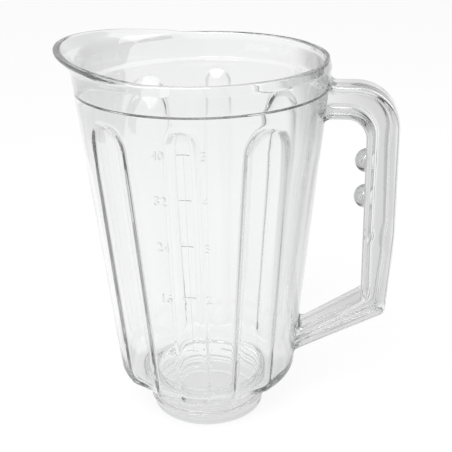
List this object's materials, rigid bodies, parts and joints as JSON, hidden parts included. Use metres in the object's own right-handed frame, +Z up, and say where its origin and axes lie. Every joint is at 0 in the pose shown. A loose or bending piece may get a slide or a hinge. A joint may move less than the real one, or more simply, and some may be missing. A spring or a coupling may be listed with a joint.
{
  "type": "blender jar",
  "caption": "Clear moulded blender jar: fluted tapering body, pouring spout, lid seat inside the rim, side handle with finger bumps and an open threaded collar below.",
  "frame": {"origin": "middle of the collar's lower face, on the jar's axis", "axes": "+Z up along the jar, +X to the handle, -X to the spout"},
  "size_m": [0.1728, 0.131, 0.2034],
  "materials": {
    "clear_plastic": "clear, polished"
  },
  "bodies": {
    "root": {"jar": "clear_plastic"}
  },
  "joints": []
}
